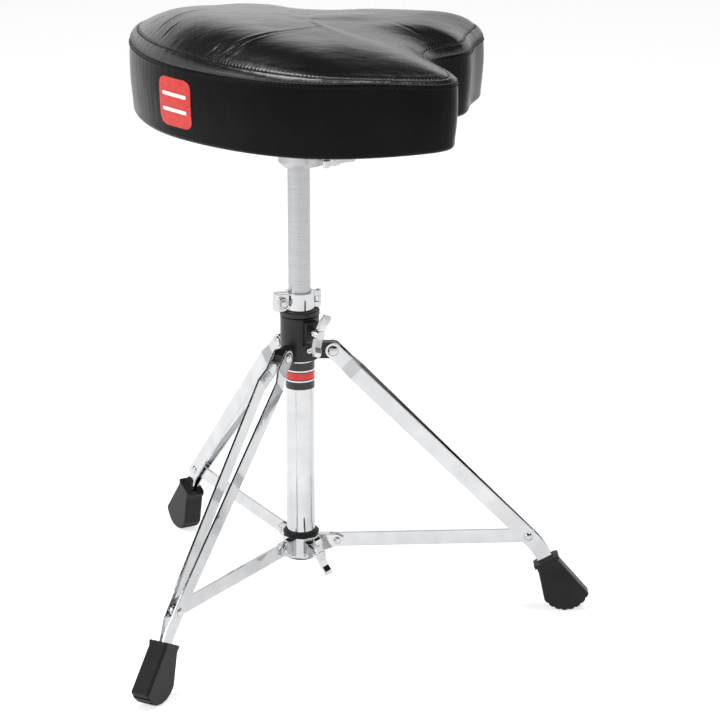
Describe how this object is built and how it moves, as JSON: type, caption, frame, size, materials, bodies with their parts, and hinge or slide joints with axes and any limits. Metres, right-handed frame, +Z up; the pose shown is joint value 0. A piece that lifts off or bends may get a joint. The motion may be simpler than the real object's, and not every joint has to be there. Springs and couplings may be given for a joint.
{
  "type": "drum throne",
  "caption": "Drummer's stool: saddle-shaped padded seat on a clamped, height-adjustable post over a folding tripod of twin flat-strap legs with rubber feet.",
  "frame": {"origin": "middle of the whole throne's bounding box, on the floor; the post axis is -63.65 mm along X", "axes": "+Z up along the post; +X along leg 1, the leg that stands to the right seen from the front; +Y to the rear"},
  "size_m": [0.4556, 0.513, 0.614],
  "materials": {
    "chrome": "polished",
    "post_steel": "satin",
    "steel": "satin",
    "black_metal": "satin",
    "cast": "satin",
    "rubber": "matte",
    "black_plastic": "satin",
    "band": "gloss",
    "plywood": "matte",
    "dust_cover": "matte",
    "vinyl": "satin"
  },
  "bodies": {
    "base": {"base_tube": "chrome", "tube_end_plug": "black_plastic", "hub_bushing": "black_plastic", "label_band": "band", "hub": "black_metal", "hub_set_screw": "chrome", "leg_pivot_pins": "chrome"},
    "leg_1": {"leg_1_left_strap": "chrome", "leg_1_right_strap": "chrome", "leg_1_rivets": "chrome", "leg_1_foot": "rubber"},
    "leg_2": {"leg_2_left_strap": "chrome", "leg_2_right_strap": "chrome", "leg_2_rivets": "chrome", "leg_2_foot": "rubber"},
    "leg_3": {"leg_3_left_strap": "chrome", "leg_3_right_strap": "chrome", "leg_3_rivets": "chrome", "leg_3_foot": "rubber"},
    "collar": {"collar": "chrome", "collar_ring": "rubber", "collar_washer": "black_plastic", "collar_pins": "chrome"},
    "strut_1": {"strut_1": "chrome"},
    "strut_2": {"strut_2": "chrome"},
    "strut_3": {"strut_3": "chrome"},
    "post": {"seat_post": "post_steel"},
    "memory_lock": {"lock_front": "chrome", "lock_rear": "chrome", "lock_hinge_pin": "chrome"},
    "lock_key_bolt": {"lock_key_bolt": "chrome"},
    "seat": {"seat_cushion": "vinyl", "seat_board": "plywood", "seat_bottom_cover": "dust_cover", "seat_bracket": "cast", "bracket_screws": "steel", "board_tnuts": "steel"},
    "hub_wing_bolt": {"hub_wing_bolt": "chrome"},
    "collar_wing_bolt": {"collar_wing_bolt": "chrome"},
    "seat_wing_bolt": {"seat_wing_bolt": "chrome"}
  },
  "joints": [
    {"name": "leg_1_fold", "type": "hinge", "parent": "base", "child": "leg_1", "pos_m": [-0.03065, 0, 0.2755], "axis": [0, 1, 0], "range_deg": [0, 42.93]},
    {"name": "leg_2_fold", "type": "hinge", "parent": "base", "child": "leg_2", "pos_m": [-0.08015, 0.02858, 0.2755], "axis": [-0.866, -0.5, 0], "range_deg": [0, 42.93]},
    {"name": "leg_3_fold", "type": "hinge", "parent": "base", "child": "leg_3", "pos_m": [-0.08015, -0.02858, 0.2755], "axis": [0.866, -0.5, 0], "range_deg": [0, 42.93]},
    {"name": "collar_slide", "type": "slide", "parent": "base", "child": "collar", "axis": [0, 0, 1], "range_m": [0, 0.11589]},
    {"name": "strut_1_turn", "type": "hinge", "parent": "collar", "child": "strut_1", "pos_m": [-0.02715, 0, 0.0745], "axis": [0, 1, 0], "range_deg": [0, 89.37]},
    {"name": "strut_2_turn", "type": "hinge", "parent": "collar", "child": "strut_2", "pos_m": [-0.0819, 0.03161, 0.0745], "axis": [-0.866, -0.5, 0], "range_deg": [0, 89.37]},
    {"name": "strut_3_turn", "type": "hinge", "parent": "collar", "child": "strut_3", "pos_m": [-0.0819, -0.03161, 0.0745], "axis": [0.866, -0.5, 0], "range_deg": [0, 89.37]},
    {"name": "seat_height", "type": "slide", "parent": "base", "child": "post", "axis": [0, 0, 1], "range_m": [-0.09, 0.08]},
    {"name": "lock_lift", "type": "slide", "parent": "base", "child": "memory_lock", "axis": [0, 0, 1], "range_m": [0, 0.03]},
    {"name": "key_bolt_turn", "type": "hinge", "parent": "memory_lock", "child": "lock_key_bolt", "pos_m": [-0.08245, -0.00684, 0.32625], "axis": [-0.342, 0.9397, 0], "continuous": true},
    {"name": "seat_swivel", "type": "hinge", "parent": "post", "child": "seat", "pos_m": [-0.06365, 0, 0.498], "axis": [0, 0, 1], "continuous": true},
    {"name": "hub_wing_bolt_turn", "type": "hinge", "parent": "base", "child": "hub_wing_bolt", "pos_m": [-0.04865, -0.02598, 0.3], "axis": [0.5, -0.866, 0], "continuous": true},
    {"name": "collar_wing_bolt_turn", "type": "hinge", "parent": "collar", "child": "collar_wing_bolt", "pos_m": [-0.04865, -0.02598, 0.0705], "axis": [0.5, -0.866, 0], "continuous": true},
    {"name": "seat_wing_bolt_turn", "type": "hinge", "parent": "seat", "child": "seat_wing_bolt", "pos_m": [-0.04136, -0.02007, 0.474], "axis": [0.7431, -0.6691, 0], "continuous": true}
  ],
  "couplings": [
    {"joint": "leg_2_fold", "follows": "leg_1_fold", "ratio": 1},
    {"joint": "leg_3_fold", "follows": "leg_1_fold", "ratio": 1},
    {"joint": "collar_slide", "follows": "leg_1_fold", "m_per_rad": 0.15465},
    {"joint": "strut_1_turn", "follows": "leg_1_fold", "ratio": 2.0813},
    {"joint": "strut_2_turn", "follows": "leg_1_fold", "ratio": 2.0813},
    {"joint": "strut_3_turn", "follows": "leg_1_fold", "ratio": 2.0813}
  ]
}
